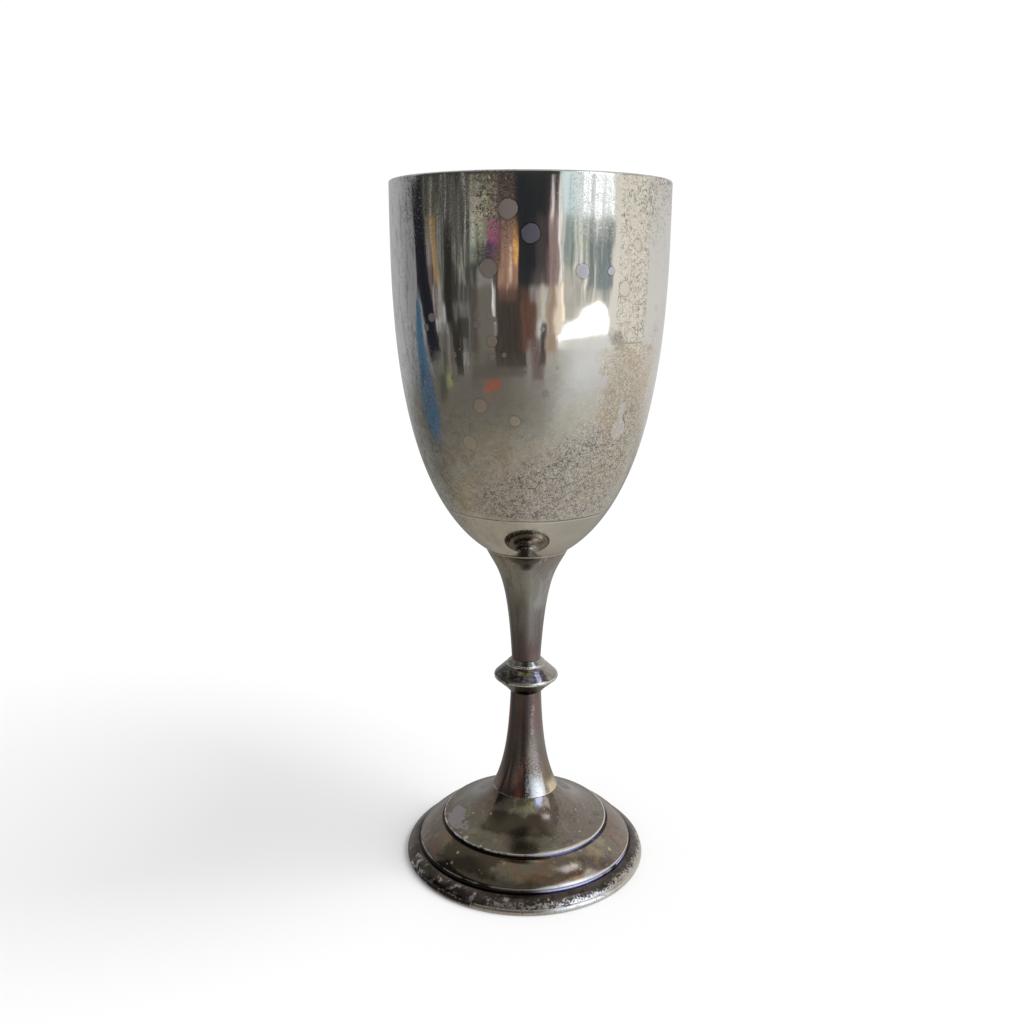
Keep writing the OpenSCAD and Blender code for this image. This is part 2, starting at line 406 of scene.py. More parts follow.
def bowl_finish():
    f = Finish("polished_silver_bowl")
    low, deep = bowl_low[2], bowl_deep
    up_share = (f.up - low) / deep
    wavy_up = f.up + f.offset(f.noise(6, 3, seed=5), 0.8)
    wavy_turn = f.turn + f.offset(f.noise(5, 4, 0.6, seed=9), 6)
    cloud = f.noise(17, 3, seed=1)
    patch = f.noise(7, 4, 0.6, 0.6, seed=2)
    wipe = f.noise(1.1, 3, 0.6, stretch=18, seed=8)
    tide_up, side_up = low + 0.16 * deep, low + 0.61 * deep
    above_tide = f.fade(wavy_up, tide_up, tide_up + 1.2)
    low_part = f.fade(up_share, 0.62, 0.24) * f.between(above_tide, 0.6, 1.0)

    # Zones: a pale panel on the right, a tan stain under it, a worn left side and an etched band low down.
    side = f.within(f.turn, 35, 51.5, 1.0)
    panel = side * f.fade(wavy_up, side_up, side_up + 0.4)
    ragged_turn = wavy_turn + f.offset(f.noise(8, 4, 0.6, seed=23), 18)
    tan = (f.within(ragged_turn, 38, 60, 8) * f.fade(wavy_up, side_up - 0.1, side_up - 0.5)
           * f.fade(up_share, 0.2, 0.36))
    edge_wear = f.fade(f.turn, -53.5, -57) * 0.6
    left = (f.between(f.fade(up_share, 0.5, 0.66), f.fade(wavy_turn, -38, -50), edge_wear)
            * f.fade(f.turn, -175, -150))
    rising = wavy_up + f.offset(f.noise(4, 4, 0.6, seed=27), 5) - f.turn * 0.22
    band = (f.fade(rising, low + 0.385 * deep, low + 0.3 * deep) * above_tide * f.fade(wavy_turn, -44, -22)
            * f.fade(f.turn, 74, 48))
    steeper = rising - f.most(f.turn - 8, 0) * 0.24
    frost = (f.fade(steeper, low + 0.38 * deep, low + 0.3 * deep) * above_tide * f.fade(wavy_turn, -48, -26)
             * f.fade(f.turn, 84, 62))
    top = (f.fade(up_share, 0.72, 0.98) * (1 - f.within(f.turn, -5, 12.5, 2) * 0.9)
           * (1 - f.within(f.turn, -50, -24, 4) * 0.45) * f.between(f.within(f.turn, 14, 34, 3), 1.0, 0.55)
           * f.between(f.fade(f.turn, -62, -52), 0.3, 1.0))
    behind = f.fade(f.turn, 60, 90) * f.fade(cloud, 0.45, 0.6)

    # Grain: dull specks, a net of fine lines and small bright flecks.
    grain = f.noise(0.55, 3, 0.62, seed=3)
    etched = f.most(top * f.fade(patch, 0.25, 0.55), panel * 0.62, band * 0.6, left * 0.36, tan * 0.55,
                    behind * 0.5, frost * 0.4, low_part * above_tide * 0.5)
    speck = f.fade(grain, f.between(etched, 0.72, 0.5), f.between(etched, 0.78, 0.57))
    netting = f.most(f.net(1.7, 0.022, 14), f.net(1.1, 0.022, 15), f.net(0.85, 0.026, 31) * f.most(band, tan))
    netted = f.most(panel * 0.75, tan * 0.6, band, frost * 0.45, left * 0.6, top * 0.5, behind * 0.5,
                    low_part * above_tide * 0.4)
    islands = f.between(f.fade(f.noise(2.6, 3, 0.6, seed=33), 0.42, 0.54), 0.4, 0.95)
    netting = netting * netted * f.most(f.fade(patch, 0.25, 0.5), band * islands)
    flakes = f.noise(0.6, 2, 0.6, seed=16)
    fleck = f.fade(flakes, 0.6, 0.67) * f.most(panel, tan, left * 0.7, top * 0.7, low_part * 0.5)
    fleck = f.most(fleck, f.fade(flakes, 0.53, 0.61) * f.most(band, frost * 0.8))

    # Water spots: pale dull discs with a fine dark outline, in two sizes.
    spot = ring = 0
    for cell, seed, rare, small, large, cover in ((8.5, 2, 0.66, 0.07, 0.17, 1),
                                                  (3.4, 3, 0.5, 0.1, 0.26, 0.5)):
        near = f.cells(cell, seed) + f.offset(f.noise(cell * 0.2, 2, seed=18), 0.03)
        chance, extent = f.chances(cell, seed)
        kept = f.fade(chance, rare, rare + 0.02) * (1 - band * 0.7) * f.most(f.fade(up_share, 0.8, 0.6), left)
        size = f.between(extent, small, large)
        disc = f.fade(near, size, size - 0.02) * kept
        spot = f.most(spot, disc * cover)
        ring = f.most(ring, f.fade(near, size + 0.04, size) * kept * (1 - disc) * 0.6)
    # Large ones at set places, as (turn, share of the height, radius, colour).
    pale, silvery, cream, lilac = (214, 206, 204), (206, 204, 216), (244, 234, 218), (124, 124, 150)
    beige, spot_colour = (240, 226, 206), pale
    spots = ((-8.8, 0.915, 1.95, pale), (-0.6, 0.862, 1.9, lilac), (-16, 0.785, 1.8, pale),
             (19, 0.78, 1.35, silvery), (31, 0.78, 0.8, silvery), (44, 0.84, 1.1, cream),
             (38, 0.74, 1.45, cream), (-28, 0.37, 1.6, beige), (-21, 0.465, 1.5, beige),
             (-15, 0.62, 1.1, beige), (-6.5, 0.43, 1.1, beige))
    for turn, share, radius, tint in spots:
        away = (f.distance(turn, low + share * deep, rim_out * (0.87 if share < 0.5 else 1))
                + f.offset(f.noise(1.6, 2, seed=19), 0.35))
        disc = f.fade(away, radius, radius - 0.22)
        spot_colour = f.mix(f.fade(away, radius + 0.6, radius + 0.3), spot_colour, tint)
        faint = 0.6 if tint == beige else 1.0
        spot = f.most(spot, disc * faint)
        outline = f.fade(away, radius + 0.35, radius + 0.05) * f.fade(away, radius - 0.2, radius)
        ring = f.most(ring, outline * (faint * 0.8))
        beyond = f.fade(away, radius - 0.3, radius + 0.2)
        speck, netting = speck * beyond, netting * beyond

    # Tide marks: one right round low down, a short one under the panel with a smudge at its left end.
    gaps = f.fade(f.noise(9, 2, seed=6), 0.4, 0.5)
    over = f.up + f.offset(f.noise(9, 2, seed=20), 0.35) - tide_up
    mark = f.within(over, -0.02, 0.1, 0.12) * gaps
    shine = f.within(over, -0.42, -0.2, 0.12) * gaps
    side_line = f.within(wavy_up - side_up, -0.1, 0.12, 0.2) * f.within(f.turn, 37, 50, 2)
    smudge = f.distance(37 + (f.up - side_up) * -0.9, side_up + 1, rim_out)
    smudge = (f.fade(smudge + f.offset(f.noise(1.2, 3, seed=21), 1.4), 2.6, 1.2)
              * f.within(f.up, side_up - 1, side_up + 4, 1))
    mark = f.most(mark, side_line * 0.7, smudge * 0.6)
    # A pale drip with a narrow neck, below that.
    drip_turn, drip_up, drip_out = 43.5, low + 0.405 * deep, rim_out * 0.9
    body = f.distance(drip_turn, drip_up, drip_out) + (f.up - drip_up) * 0.25
    neck_up = f.least(f.most(f.up, low + 0.42 * deep), low + 0.46 * deep)
    neck = f.distance(drip_turn, neck_up, drip_out) + 1.1
    drip = f.least(body, neck) + f.offset(f.noise(1.8, 2, seed=22), 0.7)
    mark = f.most(mark, f.within(drip, 1.95, 2.1, 0.2) * f.fade(f.noise(3, 2, seed=24), 0.48, 0.6) * 0.8)
    drip = f.fade(drip, 2.05, 1.85)
    netting, speck, tan = (value * (1 - drip) for value in (netting, speck, tan))

    silver = (235, 232, 226)
    stain = f.mix(f.fade(patch, 0.4, 0.58), (208, 196, 168), (212, 212, 204))
    brown = f.fade(f.noise(6.5, 4, 0.6, 0.5, seed=17), 0.5, 0.66) * f.fade(f.turn, 34, 0)
    stain = f.mix(brown * 0.8, stain, (168, 153, 130))
    stain = f.mix(f.fade(f.noise(3.2, 4, 0.65, 0.4, seed=25), 0.53, 0.62) * 0.5, stain, (240, 234, 222))
    stain = f.mix(f.fade(f.noise(2.4, 4, 0.65, 0.6, seed=28), 0.55, 0.63) * 0.5, stain, (140, 126, 104))
    stain = f.mix(f.fade(f.noise(1.3, 3, 0.6, 0.5, seed=30), 0.58, 0.64) * 0.5, stain, (246, 240, 226))
    bottom = (1 - above_tide) * f.fade(f.turn, -10, 24)
    stain = f.mix(bottom * 0.85, stain, (152, 138, 116))
    f.colour = f.mix(low_part * 0.74 + f.fade(cloud, 0.4, 0.8) * 0.16, silver, stain)
    f.tint(band * 0.55, (230, 220, 218))
    wiped = band * f.fade(f.noise(3.4, 4, 0.66, 0.8, seed=34), 0.55, 0.62)
    f.tint(wiped * 0.5, (242, 242, 248))
    f.tint(frost * 0.25, (226, 218, 208))
    f.tint(tan * 0.62, f.mix(f.fade(patch, 0.4, 0.6), (220, 198, 168), (232, 220, 198)))
    f.tint(panel * 0.4, (236, 232, 214))
    f.tint(left * 0.3, (206, 206, 202))
    smears = f.fade(f.noise(1.1, 3, 0.62, stretch=4, seed=32), 0.52, 0.62) * f.within(wavy_turn, -90, -52, 12)
    f.tint(smears * 0.55, (160, 160, 156))
    f.tint(netting * 0.85, (122, 110, 101))
    f.tint(speck * f.between(f.most(top, panel, band, behind), 0.4, 0.72), (158, 150, 138))
    f.tint(fleck * 0.5, (252, 250, 242))
    f.tint(ring * 0.5, (140, 126, 112))
    f.tint(spot * 0.85, spot_colour)
    f.tint(mark * 0.75, (112, 98, 80))
    f.tint(shine * 0.6, (246, 240, 226))
    rough = (0.04 + low_part * above_tide * 0.08 + cloud * 0.03 + wipe * 0.03 + speck * 0.4 + netting * 0.2
             + fleck * 0.25 + band * 0.06)
    rough = f.between(spot, rough, 0.55)
    relief = (wipe * 0.5 + (1 - speck) * 0.5 + (1 - netting) * 0.4 + cloud * 0.5
              + f.noise(1.9, 1, stretch=7, seed=29) * above_tide * 1.5)
    f.bump(relief, 0.012)
    return f.finish(rough)


def upper_stem_finish():
    f = Finish("tarnished_silver_stem")
    low, high = knop_high[2], seam_up
    share = (f.up - low) / (high - low)
    cloud = f.noise(6, 3, stretch=3, seed=11)
    streak = f.noise(1.6, 2, 0.5, stretch=22, seed=12)
    grain = f.noise(0.5, 3, 0.6, seed=13)
    top = f.fade(share, 0.72, 0.9)
    f.colour = f.mix(f.fade(cloud, 0.38, 0.62), (170, 167, 160), (156, 147, 142))
    f.tint(f.fade(share, 0.42, 0.0) * 0.75, (140, 112, 116))
    # Upright streaks: real polishing streaks with painted reflections on them, pale at the right and dark at
    # the left.
    f.tint(f.fade(streak, 0.5, 0.64) * f.fade(f.turn, -10, 20) * 0.5, (200, 199, 206))
    f.tint(f.fade(streak, 0.48, 0.38) * f.fade(f.turn, 24, -16) * 0.35, (112, 102, 84))
    f.tint(f.fade(f.turn, 4, 24) * f.within(share, 0.12, 0.44, 0.1) * 0.5, (118, 110, 110))
    f.tint(f.fade(grain, 0.6, 0.68) * 0.3, (104, 94, 86))
    f.tint(f.net(1.8, 0.016, 24) * top * 0.5, (92, 82, 72))
    # A painted reflection of the bowl: a dark patch under the seam at the front.
    across = (f.turn + 3) * (1 / 26)
    down = (high - f.up) * (1 / 2.5)
    patch = f.hypot(across, down) + f.offset(f.noise(1.2, 2, seed=26), 0.3)
    f.tint(f.fade(patch, 1.1, 0.75) * 0.8, (92, 84, 70))
    f.tint(f.fade(patch, 0.7, 0.3) * 0.8, (54, 48, 42))
    lip = f.fade(f.up, high - 0.35, high - 0.1)
    f.tint(lip * 0.8, (240, 232, 218))
    rough = f.between(top, 0.13, 0.05) + cloud * 0.08 + streak * 0.05 + f.fade(grain, 0.6, 0.7) * 0.15
    f.bump(streak * 0.7 + grain * 0.2, 0.01)
    return f.finish(rough)


def knop_finish():
    f = Finish("blackened_silver_knop")
    low, high = knop_low[2], knop_high[2]
    widest = knop_high[0]
    middle_up = (low + high) / 2
    cloud = f.noise(2.6, 3, seed=21)
    dapple = f.noise(1.1, 3, 0.62, stretch=0.5, seed=25)
    grain = f.noise(0.45, 3, 0.62, seed=22)
    pits = f.fade(grain, 0.58, 0.68)
    f.colour = f.mix(f.fade(cloud, 0.42, 0.6), (128, 122, 118), (76, 70, 70))
    f.tint(f.fade(f.up, high - 3.0, high - 1.4) * 0.6, (160, 156, 148))
    shade = (f.within(f.turn, -74, 0, 14) * f.fade(f.up, high - 0.3, high - 1.2)
             * f.fade(f.up, middle_up, middle_up + 1))
    f.tint(shade * 0.7, (48, 44, 42))
    f.tint(f.fade(dapple, 0.52, 0.64) * f.between(f.fade(f.turn, -24, 12), 0.3, 0.6), (188, 184, 176))
    f.tint(f.fade(f.turn, 12, 40) * f.fade(f.up, middle_up - 1.4, middle_up) * 0.4, (214, 208, 200))
    # Painted shade: the underside of the bead darkened almost to black.
    f.tint(f.fade(f.up, middle_up - 0.8, middle_up - 1.8) * 0.93, (40, 38, 41))
    # Verdigris in the corner at the front; a painted olive highlight and a painted violet highlight on the
    # bead.
    green = f.fade(f.up, high - 0.75, high - 0.25) * f.within(f.turn, -8, 30, 14) * f.fade(dapple, 0.36, 0.5)
    f.tint(green * 0.7, (106, 132, 112))
    olive = (f.within(f.turn, -14, 6, 10) * f.within(f.up, middle_up + 1.9, middle_up + 2.6, 0.5)
             * f.fade(dapple, 0.34, 0.5))
    slant = f.up - f.turn * 0.02
    violet = (f.within(f.turn, -4, 34, 8) * f.within(slant, middle_up + 0.9, middle_up + 1.2, 0.35)
              * f.fade(dapple, 0.38, 0.5))
    f.tint(olive * 0.7, (156, 150, 96))
    f.tint(violet * 0.7, (150, 146, 166))
    # Painted shade that dims the room's glint on the upper right of the bead.
    dimmed_glint = (f.within(f.turn, 12, 40, 8) * f.within(f.up, middle_up + 0.2, high - 1.6, 0.5)
              * f.fade(f.out, 4.7, 5.1))
    f.tint(dimmed_glint * 0.75, f.mix(f.fade(dapple, 0.44, 0.6), (84, 80, 84), (140, 137, 148)))
    f.tint(pits * 0.5, (52, 46, 44))
    # The widest edge worn pale, whiter towards the front where a painted highlight sits on it, and a pale
    # line on the shoulder.
    front = f.within(f.turn, -24, 34, 14)
    worn = (f.fade(f.out, f.between(front, widest - 0.16, widest - 0.26), widest - 0.04)
            * f.fade(f.noise(1.6, 3, seed=23) + front * 0.12, 0.36, 0.5))
    shoulder = f.within(f.up, high - 1.35, high - 0.95, 0.12) * f.within(f.out, 4.4, 4.8, 0.15)
    bright = f.most(worn, shoulder * f.fade(cloud, 0.35, 0.55))
    f.tint(bright * 0.9, f.mix(front, (232, 222, 208), (254, 250, 250)))
    rough = 0.08 + cloud * 0.08 + pits * 0.25
    rough = f.between(bright, rough, 0.26)
    f.bump((1 - pits) * 0.5 + cloud * 0.5 + dapple * 0.4, 0.02)
    return f.finish(rough)


def lower_stem_finish():
    f = Finish("blackened_silver_stem")
    low, high = stem_foot_up, knop_low[2]
    share = (f.up - low) / (high - low)
    cloud = f.noise(5, 3, stretch=2.5, seed=31)
    grain = f.noise(0.5, 4, 0.66, seed=32)
    wander = f.offset(f.noise(3.5, 3, stretch=2, seed=33), 16)
    side = f.turn + wander
    f.colour = f.mix(f.fade(cloud, 0.38, 0.62), (146, 140, 134), (138, 122, 118))
    # A reddish stripe at the right of the upper part, with a few bright scratches beside it.
    red = f.within(side, 34, 62, 8) * f.fade(share, 0.5, 0.66) * f.fade(share, 0.98, 0.9)
    f.tint(red * 0.7, (154, 126, 128))
    scratch = f.within(side, 20, 30, 3) * f.within(share, 0.62, 0.86, 0.05) * f.fade(grain, 0.5, 0.58)
    f.tint(scratch * 0.7, (206, 196, 194))
    f.tint(f.within(side, -6, 16, 8) * f.fade(share, 0.42, 0.66) * 0.5, (98, 90, 90))
    # Painted reflection: reddish brown on the left side.
    f.tint(f.fade(f.turn, -38, -46) * f.fade(f.turn, -100, -70) * 0.6, (146, 122, 110))
    f.tint(f.within(f.turn, -62, -54, 5) * f.fade(share, 0.96, 0.8) * 0.42, (180, 124, 90))
    # Below, a mottled strip that was rubbed pale again, paler towards the foot; at the foot a painted
    # highlight, with a painted tan highlight beside it and brown tarnish above that.
    strip = f.within(side, 2, 38, 9) * f.fade(share, 0.56, 0.3)
    bottom_highlight = f.within(f.turn + wander * 0.25, 0, 40, 2) * f.fade(share, 0.26, 0.1)
    mottle = f.fade(grain, 0.42, 0.6)
    # Painted tan highlight at the bottom right of the stem.
    tan = f.fade(side, 40, 52) * f.fade(f.turn, 150, 110) * f.fade(share, 0.17, 0.04)
    f.tint(tan * 0.85, (244, 222, 192))
    tan = (f.fade(side, 40, 50) * f.fade(f.turn, 150, 110) * f.fade(share, 0.34, 0.2)
           * f.fade(share, 0.06, 0.14))
    f.tint(tan * 0.6, f.mix(f.fade(cloud, 0.42, 0.58), (112, 94, 76), (156, 134, 112)))
    russet = f.within(f.turn, -30, 0, 8) * f.fade(share, 0.4, 0.1)
    f.tint(russet * 0.65, (190, 154, 148))
    f.tint(strip * mottle * f.between(f.fade(share, 0.4, 0.12), 0.4, 0.85), (206, 200, 204))
    f.tint(f.net(1.5, 0.02, 36) * strip * 0.6, (82, 72, 74))
    # Painted highlight of the window at the foot of the stem.
    f.tint(bottom_highlight * 0.9, (238, 238, 240))
    lip = (f.fade(f.up, low + 0.3, low + 0.08)
           * f.fade(f.noise(2.2, 2, seed=34) + f.fade(f.turn, -20, 30) * 0.2, 0.4, 0.55))
    f.tint(lip * 0.9, (246, 230, 206))
    rough = 0.17 + cloud * 0.1 + strip * mottle * 0.16 + f.fade(grain, 0.6, 0.7) * 0.1
    f.bump(grain * 0.4 + cloud * 0.4, 0.012)
    return f.finish(rough)


def foot_finish():
    f = Finish("tarnished_silver_foot")
    cloud = f.noise(9, 4, 0.6, 0.4, seed=41)
    broad = f.noise(22, 2, seed=42)
    grain = f.noise(0.6, 4, 0.66, 0.3, seed=43)
    f.colour = f.mix(f.fade(cloud, 0.38, 0.6), (130, 125, 108), (134, 120, 108))
    f.tint(f.fade(f.turn, 10, 60) * f.fade(f.turn, 175, 120) * 0.75, (146, 137, 129))
    f.tint(f.fade(broad, 0.55, 0.75) * 0.3, (150, 116, 102))
    mottle = f.noise(3.4, 4, 0.6, seed=48)
    f.tint(f.fade(mottle, 0.54, 0.66) * 0.45, (166, 154, 134))
    f.tint(f.fade(f.noise(2.0, 4, 0.66, 0.5, seed=52), 0.54, 0.64) * 0.4, (98, 88, 76))
    # A painted dark reflection of the stem on the front of the dome, a darker patch on the left of the
    # moulding, and a painted olive highlight by the stem.
    ragged_turn = f.turn + f.offset(f.noise(4, 4, 0.6, seed=53), 16)
    ragged_out = f.out + f.offset(f.noise(3, 4, 0.6, seed=54), 1.4)
    shade = f.within(ragged_turn, -40, 18, 10) * f.within(ragged_out, 11, 14.6, 1.2)
    patch = (f.within(ragged_turn, -54, -20, 6)
             * f.within(ragged_out, upper_edge[0] + 0.4, lower_edge[0] - 1.4, 1.0))
    sheen = (f.within(ragged_turn, -16, 8, 12) * f.within(ragged_out, 7.6, 9.2, 1.6)
             * f.fade(mottle, 0.36, 0.52))
    f.tint(f.most(shade, patch) * 0.75, (72, 62, 50))
    f.tint(sheen * 0.7, (214, 208, 164))
    leaning = f.turn + (f.out - 8) * 6
    glare = f.fade(f.turn, 12, 16) * f.fade(leaning, 34, 29) * f.fade(f.out, 10.2, 9)
    f.tint(glare * 0.6, (178, 184, 214))
    warm = f.fade(f.noise(5, 4, 0.6, 0.6, seed=57), 0.5, 0.62) * f.fade(f.out, 19, 21) * (1 - patch)
    f.tint(warm * 0.4, (156, 112, 78))
    # Gold tints on the moulding; further out, a dark brown band of painted shade that dims a reflection of
    # the window.
    gold = (f.within(ragged_turn, 32, 60, 8) * f.within(ragged_out, upper_edge[0] + 0.4, 24.4, 0.8)
            * f.fade(mottle, 0.34, 0.6))
    f.tint(gold * 0.45, (204, 186, 144))
    rust_and_shade = f.within(ragged_turn, 4, 26, 10) * f.within(ragged_out, 24.2, 25.4, 0.5)
    f.tint(rust_and_shade * 0.5, (104, 70, 46))
    # Thin brown streaks that run down the dome at the right.
    runs = (f.fade(f.noise(1.1, 3, 0.6, 0.4, stretch=0.7, seed=49), 0.54, 0.6) * f.within(f.turn, 30, 75, 12)
            * f.fade(f.out, 16, 11))
    f.tint(runs * 0.4, (104, 84, 70))

    flange = f.fade(f.out, lower_edge[0] - 0.05, lower_edge[0] + 0.3)
    f.tint(flange * 0.8, f.mix(f.fade(mottle, 0.44, 0.56), (50, 44, 42), (88, 80, 76)))
    # Each step edge: the dark groove under it, a painted highlight line on it and a painted blue highlight
    # close below it.
    groove = bright = glow = 0
    for edge_out, edge_up in (upper_edge, lower_edge):
        groove = f.most(groove, f.within(f.up, edge_up - 1.0, edge_up - 0.22, 0.12)
                        * f.within(f.out, edge_out - 0.3, edge_out + 0.45, 0.15))
        away = f.hypot(f.out - edge_out, f.up - edge_up)
        bright = f.most(bright, f.fade(away, f.between(f.within(f.turn, 12, 42, 10), 0.36, 0.95), 0.2))
        glow = f.most(glow, f.within(f.up, edge_up - 0.66, edge_up - 0.38, 0.12)
                      * f.within(f.out, edge_out - 0.3, edge_out + 0.1, 0.1))
    violet = f.within(f.turn, 16, 58, 16) * f.fade(f.noise(3, 2, seed=55), 0.32, 0.5)
    f.tint(groove * 0.92, f.mix(violet, (48, 41, 39), (86, 82, 112)))

    # Pale worn silver with a ragged, speckled edge at the front right of the flange, flecks of it elsewhere;
    # at the front right it turns whiter, a painted highlight.
    fine = f.noise(0.55, 4, 0.7, seed=50)
    ragged = f.noise(3.2, 5, 0.7, seed=44) * 0.6 + fine * 0.85
    rim_share = (f.out - lower_edge[0]) / (foot_out - lower_edge[0])
    toward = f.fade(f.turn, -34, -6) * 0.76 + f.fade(f.turn, 20, 38) * 0.3
    rub = ragged + rim_share * f.between(toward * f.fade(f.turn, 128, 84), 0.1, 0.5)
    worn = flange * f.fade(rub, 1.03, 1.2)
    left_front = f.within(f.turn, -72, -14, 14) * f.fade(rim_share, 0.2, 0.6)
    patchy = left_front * flange * f.fade(f.noise(1.8, 3, 0.6, seed=51), 0.53, 0.6)
    fleck = f.fade(f.noise(1.3, 3, 0.6, seed=45), 0.68, 0.73) * (1 - flange)
    blotch_out = upper_edge[0] - 2.6
    blotch = (f.hypot((f.turn + 76) * math.radians(blotch_out / 2.2), f.out - blotch_out)
              + f.offset(f.noise(2.2, 4, 0.6, seed=46), 3.2))
    blotch = (f.fade(blotch, 2.3, 2.1) * f.fade(f.out, upper_edge[0], upper_edge[0] - 0.3)
              * f.fade(f.out, 12, 14))
    f.tint(blotch * 0.75, (180, 168, 170))
    f.tint(fleck * 0.5, (186, 180, 168))
    highlight_side = f.within(f.turn, 16, 38, 8)
    f.tint(worn * 0.92, f.mix(highlight_side, (216, 210, 200), (250, 249, 250)))
    f.tint(patchy * 0.85, (204, 200, 198))
    chance, _ = f.chances(2.6, 7)
    dot = f.fade(f.cells(2.6, 7) + f.offset(fine, 0.05), 0.13, 0.08) * f.fade(chance, 0.66, 0.68)
    for turn, out, radius in ((-47.6, 19.2, 0.75), (-45.2, 22.5, 0.4), (-44.7, 24.6, 0.4), (-46, 11.6, 0.35),
                              (58, 23.7, 0.5)):
        away = f.hypot((f.turn - turn) * math.radians(out), f.out - out)
        dot = f.most(dot, f.fade(away, radius, radius * 0.6))
    crumbs = f.fade(f.noise(0.7, 3, 0.6, seed=56), 0.62, 0.68) * f.within(f.turn, 28, 110, 16) * (1 - flange)
    dot = f.most(dot, crumbs * 0.7)
    f.tint(dot * 0.75, (216, 208, 190))

    kept = f.noise(2.4, 4, 0.6, seed=47) + f.fade(f.turn, -24, 16) * 0.2
    bright = bright * f.fade(kept, 0.4, 0.56)
    f.tint(bright * 0.92, (250, 247, 245))
    f.tint(glow * violet * 0.95, (206, 210, 255))
    pits = f.fade(grain, 0.6, 0.68) * (1 - worn)
    f.tint(pits * f.between(flange, 0.3, 0.6), (60, 52, 52))
    front = f.within(f.turn, -36, 6, 14) * f.fade(f.out, 20, 18)
    rough = (0.06 + cloud * 0.08 + mottle * 0.06 + flange * 0.06 + pits * 0.2 + blotch * 0.25 + fleck * 0.25
             + worn * 0.14 + dot * 0.2 + bright * 0.24 + front * 0.08)
    f.bump(grain * 0.3 + cloud * 0.6 + worn * 0.25, 0.02)
    return f.finish(rough)


def wire_finish():
    f = Finish("worn_silver_wire")
    ragged = f.noise(3.2, 5, 0.7, seed=44) + f.noise(0.7, 4, 0.66, 0.5, seed=43) * 0.25
    toward = f.fade(f.turn, 2, 42) * f.fade(f.turn, 128, 84)
    front, left = f.within(f.turn, -16, 30, 12), f.within(f.turn, -66, -20, 14)
    worn = f.fade(ragged + toward * 0.36 + front * 0.23 + left * 0.09, 0.72, 0.8)
    scratch = f.noise(0.8, 3, 0.6, seed=51)
    # Worn silver, whiter at the front right where a painted highlight sits.
    f.colour = f.mix(worn, (96, 88, 84), f.mix(f.within(f.turn, 16, 38, 8), (222, 216, 206), (252, 252, 255)))
    f.tint(f.fade(scratch, 0.58, 0.68) * 0.5, (60, 54, 52))
    # Painted reflection of the pale floor along the bottom edge.
    f.tint(f.fade(f.up, 0.35, 0.0) * 0.6, (170, 166, 160))
    rough = 0.2 + scratch * 0.2
    f.bump(scratch + ragged * 0.4, 0.015)
    return f.finish(rough)


def brass_finish():
    f = Finish("brass_fitting")
    cloud = f.noise(2.5, 3, seed=61)
    turning = f.math("SINE", f.up * 42)
    f.colour = f.mix(f.fade(cloud, 0.35, 0.7), (196, 160, 92), (140, 104, 62))
    f.tint(f.fade(f.noise(0.5, 3, seed=62), 0.58, 0.66) * 0.5, (92, 72, 44))
    f.bump(turning * 0.3 + cloud, 0.012)
    return f.finish(0.24 + cloud * 0.25)


def steel_finish():
    f = Finish("steel_fastening")
    cloud = f.noise(2.2, 3, seed=71)
    rust_and_shade = f.fade(f.noise(1.4, 4, 0.66, seed=72), 0.6, 0.68)
    f.colour = f.mix(f.fade(cloud, 0.35, 0.7), (170, 170, 172), (132, 132, 134))
    f.tint(rust_and_shade * 0.6, (126, 82, 52))
    f.bump(cloud + rust_and_shade * 0.6, 0.015)
    return f.finish(0.28 + cloud * 0.2 + rust_and_shade * 0.3, 1 - rust_and_shade * 0.6)


# Node, slot, points round, millimetres out of true, seed of that, size of the rounded corners.
turned = {
    bowl_finish: ("bowl", "polished_silver", 300, 0.035, 3),
    upper_stem_finish: ("upper_stem", "tarnished_silver", 180, 0.015, 4),
    knop_finish: ("knop", "blackened_silver", 200, 0.01, 5, 0.2),
    lower_stem_finish: ("lower_stem", "blackened_silver", 180, 0.015, 6),
    foot_finish: ("foot", "tarnished_silver", 320, 0.03, 7, 0.3),
    wire_finish: ("foot_wire", "worn_silver", 320, 0.0, 8),
}
for make_finish, sizes in turned.items():
    lathe(*sizes).data.materials.append(make_finish())
brass, steel = brass_finish(), steel_finish()
fittings = {"bowl_boss": brass, "clamp_plate": brass, "washer": steel, "nut": steel, "tie_rod": steel}
for node, material in fittings.items():
    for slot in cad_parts[node].material_slots:
        slot.material = material


# -------- the room, seen only in reflections

def smooth(x):
    x = np.clip(x, 0, 1)
    return x * x * (3 - 2 * x)


